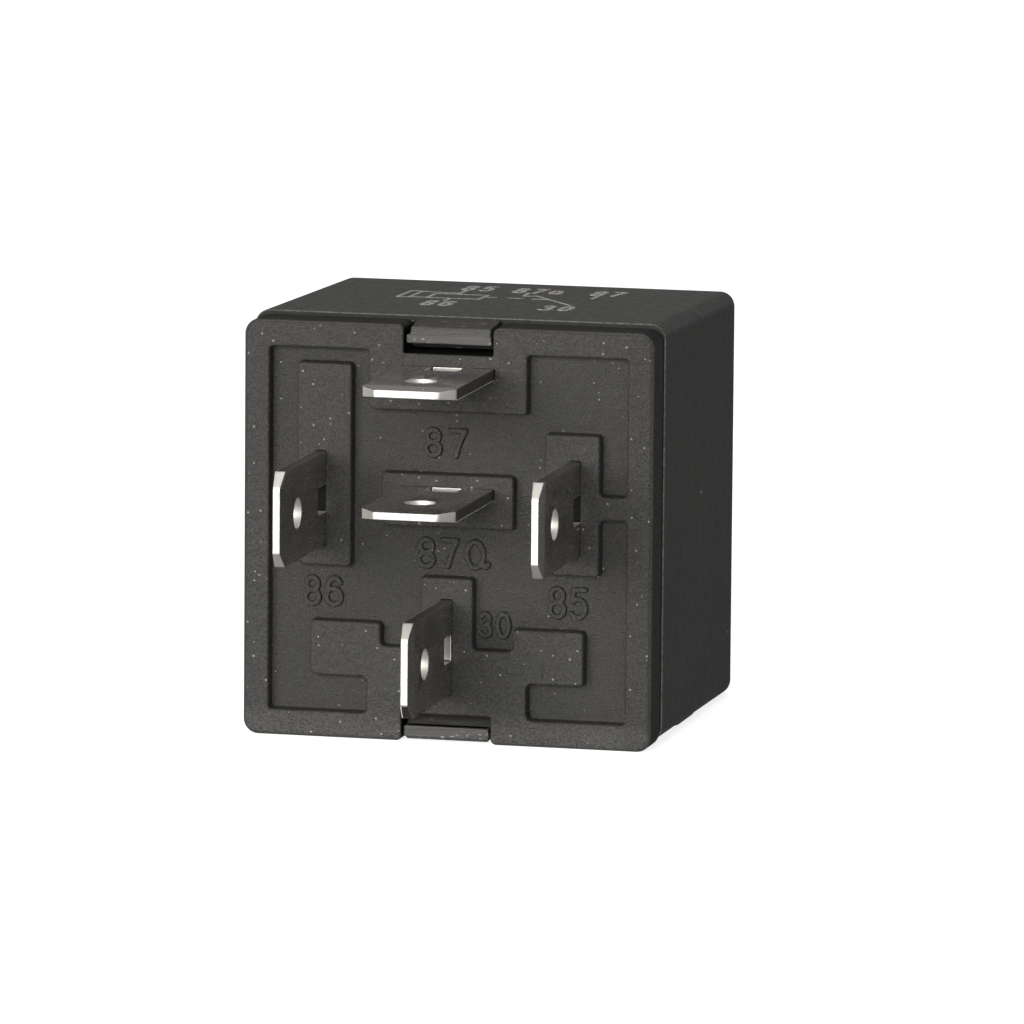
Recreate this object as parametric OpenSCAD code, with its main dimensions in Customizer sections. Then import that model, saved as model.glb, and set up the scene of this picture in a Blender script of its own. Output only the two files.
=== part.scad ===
// Mini automotive changeover relay, five 6.3 mm blades, push-fit cover.
// Millimetres. The relay lies on one side: +Y runs into the relay from the
// terminals' face, +X is to the right, +Z is up.
// Origin: centre of the footprint of the side that it lies on.

/* [Base plate] */
// Width and height of the base plate's front flange
base_w = 27.8; // [27.4:0.1:28.2]
// Thickness of the flange, front to back
flange_t = 2.8; // [2.6:0.1:3.0]
// Radius of the flange's corners
base_r = 1.0; // [0.6:0.1:1.5]
// Bevel round the flange's front edge
base_bevel = 0.25; // [0.1:0.05:0.4]
// Width of the raised rim round the recess
rim_w = 1.75; // [1.5:0.05:2.0]
// Depth of the recess between the raised pads
recess_d = 0.85; // [0.5:0.05:1.0]
// Width of the notches for the cover's latch tongues
notch_w = 6.1; // [5.5:0.1:6.5]

/* [Cover] */
// Outer width of the cover at its open end
cover_w = 27.94; // [27.9:0.01:28.3]
// Outer height of the cover at its open end
cover_h = 27.82; // [27.7:0.01:28.0]
// Outer width and height of the cover at its closed end
cover_end_w = 27.66; // [27.4:0.01:27.8]
// Distance from the terminals' face to the cover's closed end
body_l = 25.55; // [25.3:0.05:26.0]
// Wall thickness of the cover
wall = 1.1; // [1.0:0.05:1.1]
// Height of the cover's centre above the base plate's centre, at its open end
cover_rise = 0.26; // [0.2:0.01:0.26]
// How much lower the cover's centre is at its closed end
cover_drop = 0.33; // [0.2:0.01:0.33]
// Radius of the cover's edges and corners
cover_r = 1.0; // [0.8:0.1:1.2]

/* [Blades] */
// Width of each blade
blade_w = 6.3; // [6.2:0.1:6.4]
// Thickness of each blade
blade_t = 0.8; // [0.75:0.01:0.8]
// Length of the blades in front of the terminals' face
blade_l = 11.14; // [9.5:0.02:11.5]
// Diameter of the round detent hole in each blade
hole_d = 2.0; // [1.6:0.1:2.4]
// Distance from the blade's tip to the detent hole's centre
hole_from_tip = 3.9; // [3.5:0.1:4.3]
// Sideways position of the two coil blades, left and right of centre
coil_blade_x = 8.65; // [8.6:0.05:8.7]
// Height of the two coil blades above the base's centre
coil_blade_z = 2.15; // [2.0:0.05:2.3]
// Height of the upper contact blade above the base's centre
no_blade_z = 10.8; // [10.75:0.05:10.85]
// Height of the middle contact blade above the base's centre
nc_blade_z = 2.8; // [2.75:0.05:2.9]
// Height of the common blade above the base's centre
com_blade_z = -7.45; // [-7.5:0.05:-7.4]

/* [Switch] */
// Angle that the armature swings through when the coil pulls it in
swing = 2.5; // [2.0:0.1:2.5]
// Gap left between faces that touch in use
touch = 0.03; // [0.02:0.01:0.05]
// Outer diameter of the coil winding
winding_d = 14.0; // [12:0.5:14]

/* [Hidden] */

$fn = 48;
half = base_w / 2;
mid_y = (body_l - blade_l) / 2;      // middle of the overall length
floor_y = flange_t;                  // inner face of the base plate
tip_y = -blade_l;
detent_y = tip_y + hole_from_tip;
lip_y = flange_t + 0.25;             // cover's open end
rib_y0 = 10.7;                       // rest rib under the cover
rib_y1 = 14.7;

// Magnet: coil axis along Y
coil_z = -1.2;
leg_y0 = 4.4;                        // yoke's short leg
leg_t = 1.6;
yoke_w = 11.0;
yoke_bot = -11.4;                    // outer face of the long leg
pole_y = 19.2;                       // pole face and end of the yoke
core_r = 3.0;
neck_r = 2.0;
pole_r = 4.3;
bob_y0 = leg_y0 + leg_t;             // bobbin between yoke and pole head
bob_y1 = pole_y - 0.8;
bob_t = 0.8;
flange_r = 7.4;

// Armature and contacts, in the pulled-in position
arm_t = 1.2;
arm_y = pole_y + touch;
leaf_t = 0.25;
leaf_y = arm_y + arm_t + 0.02;
con_z = 8.7;                         // height of the contact line
con_r = 1.3;
strip_t = blade_t;
bend_in = 0.4;                       // inner radius of the strips' bends
bend_out = bend_in + strip_t;
no_tab_y = 18.3;                     // upright tab that carries the NO contact
nc_low_y = floor_y + 0.5;            // upright part behind the base plate
nc_tab_y = 22.85;                    // upright tab that carries the NC contact
nc_arm_x0 = 4.2;                     // strip that passes beside the NO strip
nc_arm_x1 = 7.2;
nc_top = no_blade_z;

// Places the relay so that its resting side is at z = 0 and its overall
// length is centred on y = 0.
module lay() { translate([0, -mid_y, half]) children(); }

// Flat outline in X-Z drawn as (x, z), thickened from y0 to y1.
module slab(y0, y1) {
    translate([0, y1, 0]) rotate([90, 0, 0]) linear_extrude(y1 - y0) children();
}
// Side outline in Y-Z drawn as (y, z), thickened from x0 to x1.
module side(x0, x1) {
    translate([x0, 0, 0]) rotate([90, 0, 90]) linear_extrude(x1 - x0) children();
}
// Rod along Y.
module rod_y(r, y0, y1, x = 0, z = 0) {
    translate([x, y1, z]) rotate([90, 0, 0]) cylinder(r = r, h = y1 - y0);
}
// Rectangle from corner to corner.
module box2(x0, z0, x1, z1) { translate([x0, z0]) square([x1 - x0, z1 - z0]); }
// Rectangle with round corners.
module rrect(x0, z0, x1, z1, r) {
    box2(x0 + r, z0, x1 - r, z1);
    box2(x0, z0 + r, x1, z1 - r);
    for (x = [x0 + r, x1 - r], z = [z0 + r, z1 - r]) translate([x, z]) circle(r);
}
module rsquare(w, r) { rrect(-w / 2, -w / 2, w / 2, w / 2, r); }
// Quarter bend of a strip, centred at (y, z), in the quadrant (sy, sz).
module bend2(y, z, sy, sz) {
    translate([y, z]) intersection() {
        difference() { circle(bend_out); circle(bend_in); }
        box2(min(0, sy * 2), min(0, sz * 2), max(0, sy * 2), max(0, sz * 2));
    }
}
// Turns a piece drawn in the pulled-in position back to its rest position.
module released() {
    translate([0, pole_y, yoke_bot]) rotate([-swing, 0, 0])
        translate([0, -pole_y, -yoke_bot]) children();
}

// ---------------------------------------------------------------- blades
// Blade lying in X-Y with its tip towards -Y: bevelled tip, round detent
// hole and a lance window near the root. It ends at y = y1.
module blade(y1, win_w) {
    w = blade_w / 2;
    difference() {
        intersection() {
            translate([0, 0, -1]) linear_extrude(2)
                polygon([[-w, y1], [-w, tip_y + 0.95], [-w + 1.0, tip_y],
                         [w - 1.0, tip_y], [w, tip_y + 0.95], [w, y1]]);
            side(-w - 1, w + 1)
                polygon([[tip_y, -blade_t / 2 + 0.12], [tip_y + 1.0, -blade_t / 2],
                         [y1, -blade_t / 2], [y1, blade_t / 2],
                         [tip_y + 1.0, blade_t / 2], [tip_y, blade_t / 2 - 0.12]]);
        }
        translate([0, detent_y, -1]) cylinder(d = hole_d, h = 2);
        translate([-win_w / 2, -2.0, -1]) cube([win_w, 1.8, 2]);
    }
}
module upright_blade(y1, win_w) { rotate([0, 90, 0]) blade(y1, win_w); }

// Slot through the base plate for one blade, w wide and t thick.
module blade_slot(w, t) { translate([-w / 2, -1, -t / 2]) cube([w, floor_y + 2, t]); }

module terminal_30() {
    color([0.80, 0.80, 0.76]) lay() translate([0, 0, com_blade_z]) {
        upright_blade(floor_y + 0.05, 1.8);
        // shoulders behind the base plate
        translate([-blade_t / 2, floor_y + 0.05, -3.5]) cube([blade_t, 1.35, 7.0]);
        // tab staked in the yoke
        translate([-blade_t / 2, floor_y + 1.4, -1.5]) cube([blade_t, 1.7, 3.0]);
    }
}

module coil_terminal(sx) {
    color([0.80, 0.80, 0.76]) lay() translate([sx * coil_blade_x, 0, coil_blade_z]) {
        upright_blade(floor_y + 0.05, 1.8);
        translate([-blade_t / 2, floor_y + 0.05, -3.5]) cube([blade_t, 1.15, 7.0]);
        translate([-blade_t / 2, floor_y + 1.2, -1.6]) cube([blade_t, 1.4, 3.2]);
        // post that the coil's wire is wound on
        translate([-blade_t / 2, floor_y + 2.6, -0.45]) cube([blade_t, 3.2, 0.9]);
    }
}
module terminal_85() { coil_terminal(1); }
module terminal_86() { coil_terminal(-1); }

module terminal_87() {
    z = no_blade_z;
    color([0.80, 0.80, 0.76]) lay() difference() {
        union() {
            translate([0, 0, z]) blade(floor_y + 0.05, 2.1);
            translate([-3.6, floor_y + 0.05, z - strip_t / 2]) cube([7.2, 1.5, strip_t]);
            translate([-2.4, floor_y + 1.5, z - strip_t / 2])
                cube([4.8, no_tab_y - bend_in - floor_y - 1.5, strip_t]);
            side(-2.4, 2.4) bend2(no_tab_y - bend_in, z - strip_t / 2 - bend_in, 1, 1);
            translate([-2.4, no_tab_y, 7.0])
                cube([4.8, strip_t, z - strip_t / 2 - bend_in - 7.0]);
        }
        rod_y(0.62, no_tab_y - 1, no_tab_y + 2, 0, con_z);
    }
}

module terminal_87a() {
    z = nc_blade_z;
    zt = nc_top;
    color([0.80, 0.80, 0.76]) lay() difference() {
        union() {
            translate([0, 0, z]) blade(nc_low_y - bend_in, 2.1);
            // up behind the base plate
            side(-blade_w / 2, blade_w / 2)
                bend2(nc_low_y - bend_in, z + strip_t / 2 + bend_in, 1, -1);
            slab(nc_low_y, nc_low_y + strip_t) polygon([
                [-blade_w / 2, z + strip_t / 2 + bend_in], [blade_w / 2, z + strip_t / 2 + bend_in],
                [nc_arm_x1, z + strip_t / 2 + bend_in], [nc_arm_x1, zt - strip_t / 2 - bend_in],
                [nc_arm_x0, zt - strip_t / 2 - bend_in], [nc_arm_x0, 6.4],
                [-blade_w / 2, 6.4]]);
            // over the coil, beside the NO strip
            side(nc_arm_x0, nc_arm_x1)
                bend2(nc_low_y + strip_t + bend_in, zt - strip_t / 2 - bend_in, -1, 1);
            translate([nc_arm_x0, nc_low_y + strip_t + bend_in, zt - strip_t / 2])
                cube([nc_arm_x1 - nc_arm_x0, nc_tab_y - nc_low_y - strip_t - 2 * bend_in, strip_t]);
            side(nc_arm_x0, nc_arm_x1)
                bend2(nc_tab_y - bend_in, zt - strip_t / 2 - bend_in, 1, 1);
            // down at the closed end, behind the moving contact
            slab(nc_tab_y, nc_tab_y + strip_t) box2(-1.9, 7.0, nc_arm_x1, zt - strip_t / 2 - bend_in);
        }
        rod_y(0.62, nc_tab_y - 1, nc_tab_y + 2, 0, con_z);
    }
}

// ---------------------------------------------------------------- housing
// Raised areas inside the recess, flush with the rim.
module pads2() {
    r = 0.28;
    // block round the upper contact blade, joined to the upper notch
    rrect(-5.4, 8.2, 5.35, half, r);
    // left and right coil pads, the right one tied to the rim
    rrect(-10.25, -2.35, -6.55, 11.15, r);
    rrect(6.6, -2.35, 10.3, 7.0, r);
    box2(10.0, 1.42, half - 0.5, 2.98);
    // middle pad
    rrect(-4.48, 0.5, 4.48, 4.03, r);
    // common pad with its two side blocks and foot
    rrect(-1.78, -9.0, 1.78, -2.85, r);
    rrect(-9.3, -9.7, -4.5, -6.05, r);
    rrect(4.5, -9.7, 9.3, -6.1, r);
    box2(-5.44, -9.7, 5.44, -7.6);
    box2(-5.44, -half + 0.5, 5.44, -9.6);
}
module base() {
    rec = half - rim_w;
    color([0.16, 0.16, 0.155]) lay() difference() {
        union() {
            // front flange with its bevelled edge
            hull() {
                slab(base_bevel, flange_t) rsquare(base_w, base_r);
                slab(0, 1) rsquare(base_w - 2 * base_bevel, base_r - base_bevel);
            }
            // spigot inside the cover
            slab(flange_t - 0.1, lip_y) rsquare(base_w - 0.9, base_r);
            slab(flange_t - 0.1, 5.4) rrect(-12.65, -12.5, 12.65, 12.65, 0.6);
            // small nubs on the flange's sides
            for (s = [-1, 1]) translate([s * (half - 0.48), 1.5, 10.3])
                cylinder(r = 0.6, h = 0.8, center = true);
        }
        // recess between the pads
        slab(-1, recess_d) difference() { rrect(-rec, -rec, rec, rec, 0.25); pads2(); }
        // hollow of the spigot
        slab(floor_y, 6) rsquare(22.9, 0.4);
        // notches for the cover's tongues, with the ledge the barbs catch on
        for (s = [0, 1]) mirror([0, 0, s]) {
            slab(-1, 2.1) box2(-notch_w / 2, 12.0, notch_w / 2, half + 1);
            slab(2.0, 6) box2(-notch_w / 2, 12.45, notch_w / 2, half + 1);
        }
        // blade slots
        translate([0, 0, no_blade_z]) blade_slot(blade_w + 0.1, blade_t + 0.08);
        translate([0, 0, nc_blade_z]) blade_slot(blade_w + 0.1, blade_t + 0.08);
        for (p = [[-coil_blade_x, coil_blade_z], [coil_blade_x, coil_blade_z], [0, com_blade_z]])
            translate([p[0], 0, p[1]]) blade_slot(blade_t + 0.08, blade_w + 0.1);
    }
}

// Latch tongue of the cover, drawn for the upper side: it reaches through the
// flange's notch, and its barb catches in front of the base plate's ledge.
module tongue(inner, outer) {
    side(-2.9, 2.9) polygon([
        [0.1, 12.67], [0.1, 13.62], [0.34, 13.85], [lip_y + 0.6, outer - 0.04], [lip_y + 0.6, inner + 0.12],
        [2.4, inner + 0.06], [2.04, 12.55], [2.02, 12.25], [1.75, 12.25], [0.9, 12.67]]);
}
// Drafted box with round edges, w0 wide and h0 high at its open end y0, closed
// at y1, where it is w1 wide and high and its centre is lower by drop.
module shell_block(w0, h0, w1, y0, y1, r, drop) {
    hull() {
        slab(y0, y0 + 0.02) rrect(-w0 / 2, -h0 / 2, w0 / 2, h0 / 2, r, $fn = 24);
        for (x = [-1, 1], z = [-1, 1])
            translate([x * (w1 / 2 - r), y1 - r, z * (w1 / 2 - r) - drop]) rotate([90, 0, 0]) sphere(r, $fn = 24);
    }
}
module case() {
    a = cover_h / 2;
    color([0.13, 0.13, 0.13]) lay() {
        difference() {
            translate([0, 0, cover_rise])
                shell_block(cover_w, cover_h, cover_end_w, lip_y, body_l, cover_r, cover_drop);
            translate([0, 0, cover_rise])
                shell_block(cover_w - 2 * wall + 0.02, cover_h - 2 * wall + 0.02, cover_end_w - 2 * wall,
                            lip_y - 1, body_l - wall, 0.5, cover_drop);
        }
        tongue(a + cover_rise - wall, a + cover_rise);
        mirror([0, 0, 1]) tongue(a - cover_rise - wall, a - cover_rise);
        // rib across the resting side, level with the flange
        slab(rib_y0, rib_y1) rrect(-half + 0.2, -half, half - 0.2, -half + 1.7, 0.8);
    }
}

// ---------------------------------------------------------------- magnet
module bobbin() {
    color([0.86, 0.84, 0.78]) lay() difference() {
        union() {
            rod_y(3.9, bob_y0, bob_y1, 0, coil_z);
            for (y = [bob_y0, bob_y1 - bob_t]) {
                rod_y(flange_r, y, y + bob_t, 0, coil_z);
                // foot that stands on the yoke, clear of its inner fillet
                translate([-3, y, yoke_bot + leg_t + (y == bob_y0 ? 0.42 : 0.02)]) cube([6, bob_t, 2.0]);
            }
        }
        rod_y(core_r + 0.05, bob_y0 - 1, bob_y1 + 1, 0, coil_z);
        // notches for the wire
        for (s = [-1, 1]) translate([s * 6.9 - 0.5, bob_y0 - 1, coil_z + 3.0]) cube([1.0, bob_t + 2, 0.6]);
    }
}
module coil_winding() {
    color([0.62, 0.27, 0.12]) lay() difference() {
        rod_y(winding_d / 2, bob_y0 + bob_t + 0.03, bob_y1 - bob_t - 0.03, 0, coil_z);
        rod_y(3.93, bob_y0, bob_y1, 0, coil_z);
    }
}
module core() {
    color([0.62, 0.63, 0.64]) lay() {
        rod_y(neck_r, leg_y0 - 0.15, bob_y0 + 0.1, 0, coil_z);
        rod_y(core_r, bob_y0, bob_y1 + 0.1, 0, coil_z);
        rod_y(pole_r, bob_y1, pole_y, 0, coil_z);
    }
}
module yoke() {
    color([0.66, 0.67, 0.68]) lay() difference() {
        side(-yoke_w / 2, yoke_w / 2) difference() {
            union() {
                box2(leg_y0, yoke_bot + 1.8, leg_y0 + leg_t, 3.2);
                box2(leg_y0 + 1.8, yoke_bot, pole_y, yoke_bot + leg_t);
                box2(leg_y0 + 1.5, yoke_bot + 1.5, leg_y0 + 1.85, yoke_bot + 1.85);
                intersection() {
                    translate([leg_y0 + 1.8, yoke_bot + 1.8]) circle(1.8);
                    box2(leg_y0, yoke_bot, leg_y0 + 1.8, yoke_bot + 1.8);
                }
            }
            translate([leg_y0 + leg_t + 0.4, yoke_bot + leg_t + 0.4]) circle(0.4);
        }
        rod_y(neck_r + 0.02, leg_y0 - 1, leg_y0 + leg_t + 1, 0, coil_z);
        // slot for the common terminal's tab
        translate([-blade_t / 2 - 0.02, leg_y0 - 1, com_blade_z - 1.52]) cube([blade_t + 0.04, leg_t + 2, 3.04]);
        // holes for the leaf spring's rivets
        for (x = [-1.6, 1.6]) translate([x, 15.2, yoke_bot - 1]) cylinder(r = 0.62, h = leg_t + 2);
    }
}

// ---------------------------------------------------------------- switch
module armature() {
    color([0.70, 0.71, 0.72]) lay() released() difference() {
        union() {
            side(-5.0, 5.0) polygon([
                [arm_y, -11.2], [arm_y + 0.3, -11.2], [arm_y + arm_t, -10.3],
                [arm_y + arm_t, 2.0], [arm_y, 2.0]]);
            slab(arm_y, arm_y + arm_t) polygon([[-5.0, 1.9], [5.0, 1.9], [3.2, 6.2], [-3.2, 6.2]]);
        }
        for (x = [-1.7, 1.7]) rod_y(0.55, arm_y - 1, arm_y + arm_t + 1, x, 4.9);
    }
}
module contact_spring() {
    w = 2.6;
    color([0.80, 0.58, 0.30]) lay() {
        // flat part under the yoke, and the bend round its end
        difference() {
            side(-w, w) {
                box2(12.9, yoke_bot - 0.02 - leaf_t, leaf_y - 1.0, yoke_bot - 0.02);
                translate([leaf_y - 1.0, yoke_bot + 0.98]) intersection() {
                    difference() { circle(1.0 + leaf_t); circle(1.0); }
                    box2(0, -2, 2, 0.02);
                }
            }
            for (x = [-1.6, 1.6]) translate([x, 15.2, yoke_bot - 1]) cylinder(r = 0.62, h = 2);
        }
        // blade that lies on the armature and carries the moving contact
        released() difference() {
            union() {
                slab(leaf_y, leaf_y + leaf_t) box2(-w, yoke_bot + 0.85, w, 6.5);
                slab(leaf_y, leaf_y + leaf_t) polygon([[-w, 6.4], [w, 6.4], [1.7, 8.0], [1.7, 10.2], [-1.7, 10.2], [-1.7, 8.0]]);
            }
            for (x = [-1.7, 1.7]) rod_y(0.55, leaf_y - 1, leaf_y + 1, x, 4.9);
            rod_y(0.65, leaf_y - 1, leaf_y + 1, 0, con_z);
        }
    }
}
module spring_rivets() {
    z0 = yoke_bot - 0.04 - leaf_t;
    color([0.72, 0.72, 0.70]) lay() for (x = [-1.6, 1.6]) translate([x, 15.2, 0]) {
        translate([0, 0, z0 - 0.5]) cylinder(r = 1.1, h = 0.5);
        translate([0, 0, z0 - 0.1]) cylinder(r = 0.6, h = leg_t + leaf_t + 0.3);
        translate([0, 0, yoke_bot + leg_t + 0.02]) cylinder(r = 0.95, h = 0.35);
    }
}
module armature_rivets() {
    color([0.72, 0.72, 0.70]) lay() released() for (x = [-1.7, 1.7]) {
        rod_y(0.9, arm_y - 0.37, arm_y - 0.02, x, 4.9);
        rod_y(0.5, arm_y - 0.1, leaf_y + leaf_t + 0.1, x, 4.9);
        rod_y(0.9, leaf_y + leaf_t + 0.02, leaf_y + leaf_t + 0.37, x, 4.9);
    }
}
module moving_contact() {
    color([0.88, 0.88, 0.86]) lay() released() {
        rod_y(con_r, leaf_y - 0.57, leaf_y - 0.02, 0, con_z);
        rod_y(0.6, leaf_y - 0.1, leaf_y + leaf_t + 0.1, 0, con_z);
        rod_y(con_r, leaf_y + leaf_t + 0.02, leaf_y + leaf_t + 0.57, 0, con_z);
    }
}
module fixed_contact_no() {
    color([0.88, 0.88, 0.86]) lay() {
        rod_y(con_r, no_tab_y + strip_t + 0.02, leaf_y - 0.57 - touch, 0, con_z);
        rod_y(0.6, no_tab_y - 0.1, no_tab_y + strip_t + 0.1, 0, con_z);
        rod_y(1.0, no_tab_y - 0.32, no_tab_y - 0.02, 0, con_z);
    }
}
module fixed_contact_nc() {
    // rest position of the moving contact's outer face, at its upper edge
    dy = leaf_y + leaf_t + 0.57 - pole_y;
    dz = con_z + con_r - yoke_bot;
    face = pole_y + dy * cos(swing) + dz * sin(swing) + touch;
    color([0.88, 0.88, 0.86]) lay() {
        rod_y(con_r, face, nc_tab_y - 0.02, 0, con_z);
        rod_y(0.6, nc_tab_y - 0.1, nc_tab_y + strip_t + 0.1, 0, con_z);
        rod_y(1.0, nc_tab_y + strip_t + 0.02, nc_tab_y + strip_t + 0.32, 0, con_z);
    }
}

// Wire from the winding to one terminal's post, with its turns on the post.
module coil_lead(s) {
    y = floor_y + 4.4;
    color([0.62, 0.27, 0.12]) lay() {
        translate([s * 6.25, y, coil_blade_z]) rotate([0, s * 90, 0]) cylinder(r = 0.11, h = coil_blade_x - 6.25 - 0.74);
        for (i = [0 : 3]) translate([s * coil_blade_x, y - 0.17 + i * 0.17, coil_blade_z]) rotate([90, 0, 0])
            rotate_extrude() translate([0.74, 0]) circle(r = 0.1, $fn = 16);
    }
}
module coil_lead_85() { coil_lead(1); }
module coil_lead_86() { coil_lead(-1); }
module solder_joints() {
    y = floor_y + 4.95;
    color([0.75, 0.76, 0.77]) lay() for (s = [-1, 1]) difference() {
        rod_y(0.95, y, y + 1.25, s * coil_blade_x, coil_blade_z);
        translate([s * coil_blade_x - blade_t / 2 - 0.01, y - 1, coil_blade_z - 0.46])
            cube([blade_t + 0.02, 1.86, 0.92]);
    }
}

case();
base();
terminal_30();
terminal_85();
terminal_86();
terminal_87();
terminal_87a();
bobbin();
coil_winding();
core();
yoke();
armature();
contact_spring();
spring_rivets();
armature_rivets();
moving_contact();
fixed_contact_no();
fixed_contact_nc();
coil_lead_85();
coil_lead_86();
solder_joints();
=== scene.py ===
import math

import bpy
import bmesh
import numpy as np
from mathutils import Matrix, Vector
from mathutils.geometry import delaunay_2d_cdt


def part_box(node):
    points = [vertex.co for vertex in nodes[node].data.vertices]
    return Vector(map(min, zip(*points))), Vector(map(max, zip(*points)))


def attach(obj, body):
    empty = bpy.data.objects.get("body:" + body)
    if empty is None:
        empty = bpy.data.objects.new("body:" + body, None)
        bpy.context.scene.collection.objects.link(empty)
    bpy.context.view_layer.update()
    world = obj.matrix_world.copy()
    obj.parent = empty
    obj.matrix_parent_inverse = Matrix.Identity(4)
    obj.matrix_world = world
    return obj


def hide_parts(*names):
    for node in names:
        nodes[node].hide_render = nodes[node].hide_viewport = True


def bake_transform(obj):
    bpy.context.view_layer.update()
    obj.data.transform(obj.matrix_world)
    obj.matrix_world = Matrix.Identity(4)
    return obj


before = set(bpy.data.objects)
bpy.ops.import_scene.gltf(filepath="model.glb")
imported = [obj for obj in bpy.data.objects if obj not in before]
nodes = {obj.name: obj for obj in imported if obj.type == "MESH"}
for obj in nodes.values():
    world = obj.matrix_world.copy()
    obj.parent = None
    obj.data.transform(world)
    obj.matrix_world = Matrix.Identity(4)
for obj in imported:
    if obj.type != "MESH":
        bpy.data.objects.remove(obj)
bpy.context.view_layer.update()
scene = bpy.context.scene

# ---------------------------------------------------------------------------
# Frame of reference. Pieces are drawn in millimetres in "seat" coordinates:
# x to the right, y into the relay from the terminals' face, z up from the
# base plate's centre. put() turns them into the row frame in metres.
base_lo, base_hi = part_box("base")
SEAT_Y = base_lo.y * 1000.0
HALF = 13.9
SEAT_Z = base_lo.z * 1000.0 + HALF


def put(points):
    a = np.asarray(points, float).reshape(-1, 3)
    return (a + np.array([0.0, SEAT_Y, SEAT_Z])) * 0.001


# ---------------------------------------------------------------------------
# Outlines and shells


def unit(a):
    a = np.asarray(a, float)
    return a / max(np.linalg.norm(a), 1e-12)


def outline(corners, seg=6):
    """Closed outline through corners (u, v, radius). Returns points and the normals on the right of travel."""
    pts, nrm = [], []
    n = len(corners)
    for i in range(n):
        v = np.array(corners[i][:2], float)
        r = corners[i][2]
        p = np.array(corners[i - 1][:2], float)
        q = np.array(corners[(i + 1) % n][:2], float)
        d0, d1 = unit(v - p), unit(q - v)
        n0 = np.array([d0[1], -d0[0]])
        n1 = np.array([d1[1], -d1[0]])
        ang = math.atan2(d0[0] * d1[1] - d0[1] * d1[0], float(d0 @ d1))
        if r <= 0 or abs(ang) < 1e-4:
            pts.append(v)
            nrm.append((n0 + n1) / max(1.0 + float(n0 @ n1), 1e-6))
            continue
        s = 1.0 if ang > 0 else -1.0
        t = r * math.tan(abs(ang) / 2)
        start = v - d0 * t
        c = start - s * n0 * r
        m = max(2, int(round(seg * abs(ang) / (math.pi / 2))))
        for k in range(m + 1):
            a = ang * k / m
            nn = np.array([n0[0] * math.cos(a) - n0[1] * math.sin(a), n0[0] * math.sin(a) + n0[1] * math.cos(a)])
            pts.append(c + s * r * nn)
            nrm.append(nn)
    return np.array(pts), np.array(nrm)


def rect_corners(x0, z0, x1, z1, r):
    return [(x0, z0, r), (x1, z0, r), (x1, z1, r), (x0, z1, r)]


def inside(points, loops):
    """Even-odd test of points against closed loops of 2-D points."""
    points = np.asarray(points, float)
    odd = np.zeros(len(points), bool)
    for loop in loops:
        a = np.asarray(loop, float)
        b = np.roll(a, -1, axis=0)
        for k in range(0, len(points), 4000):
            p = points[k : k + 4000]
            x, y = p[:, 0:1], p[:, 1:2]
            up = (a[None, :, 1] > y) != (b[None, :, 1] > y)
            den = np.where(np.abs(b[:, 1] - a[:, 1]) < 1e-15, 1e-15, b[:, 1] - a[:, 1])
            xi = a[None, :, 0] + (y - a[None, :, 1]) * ((b[:, 0] - a[:, 0]) / den)[None, :]
            odd[k : k + 4000] ^= ((up & (x < xi)).sum(1) % 2).astype(bool)
    return odd


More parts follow.
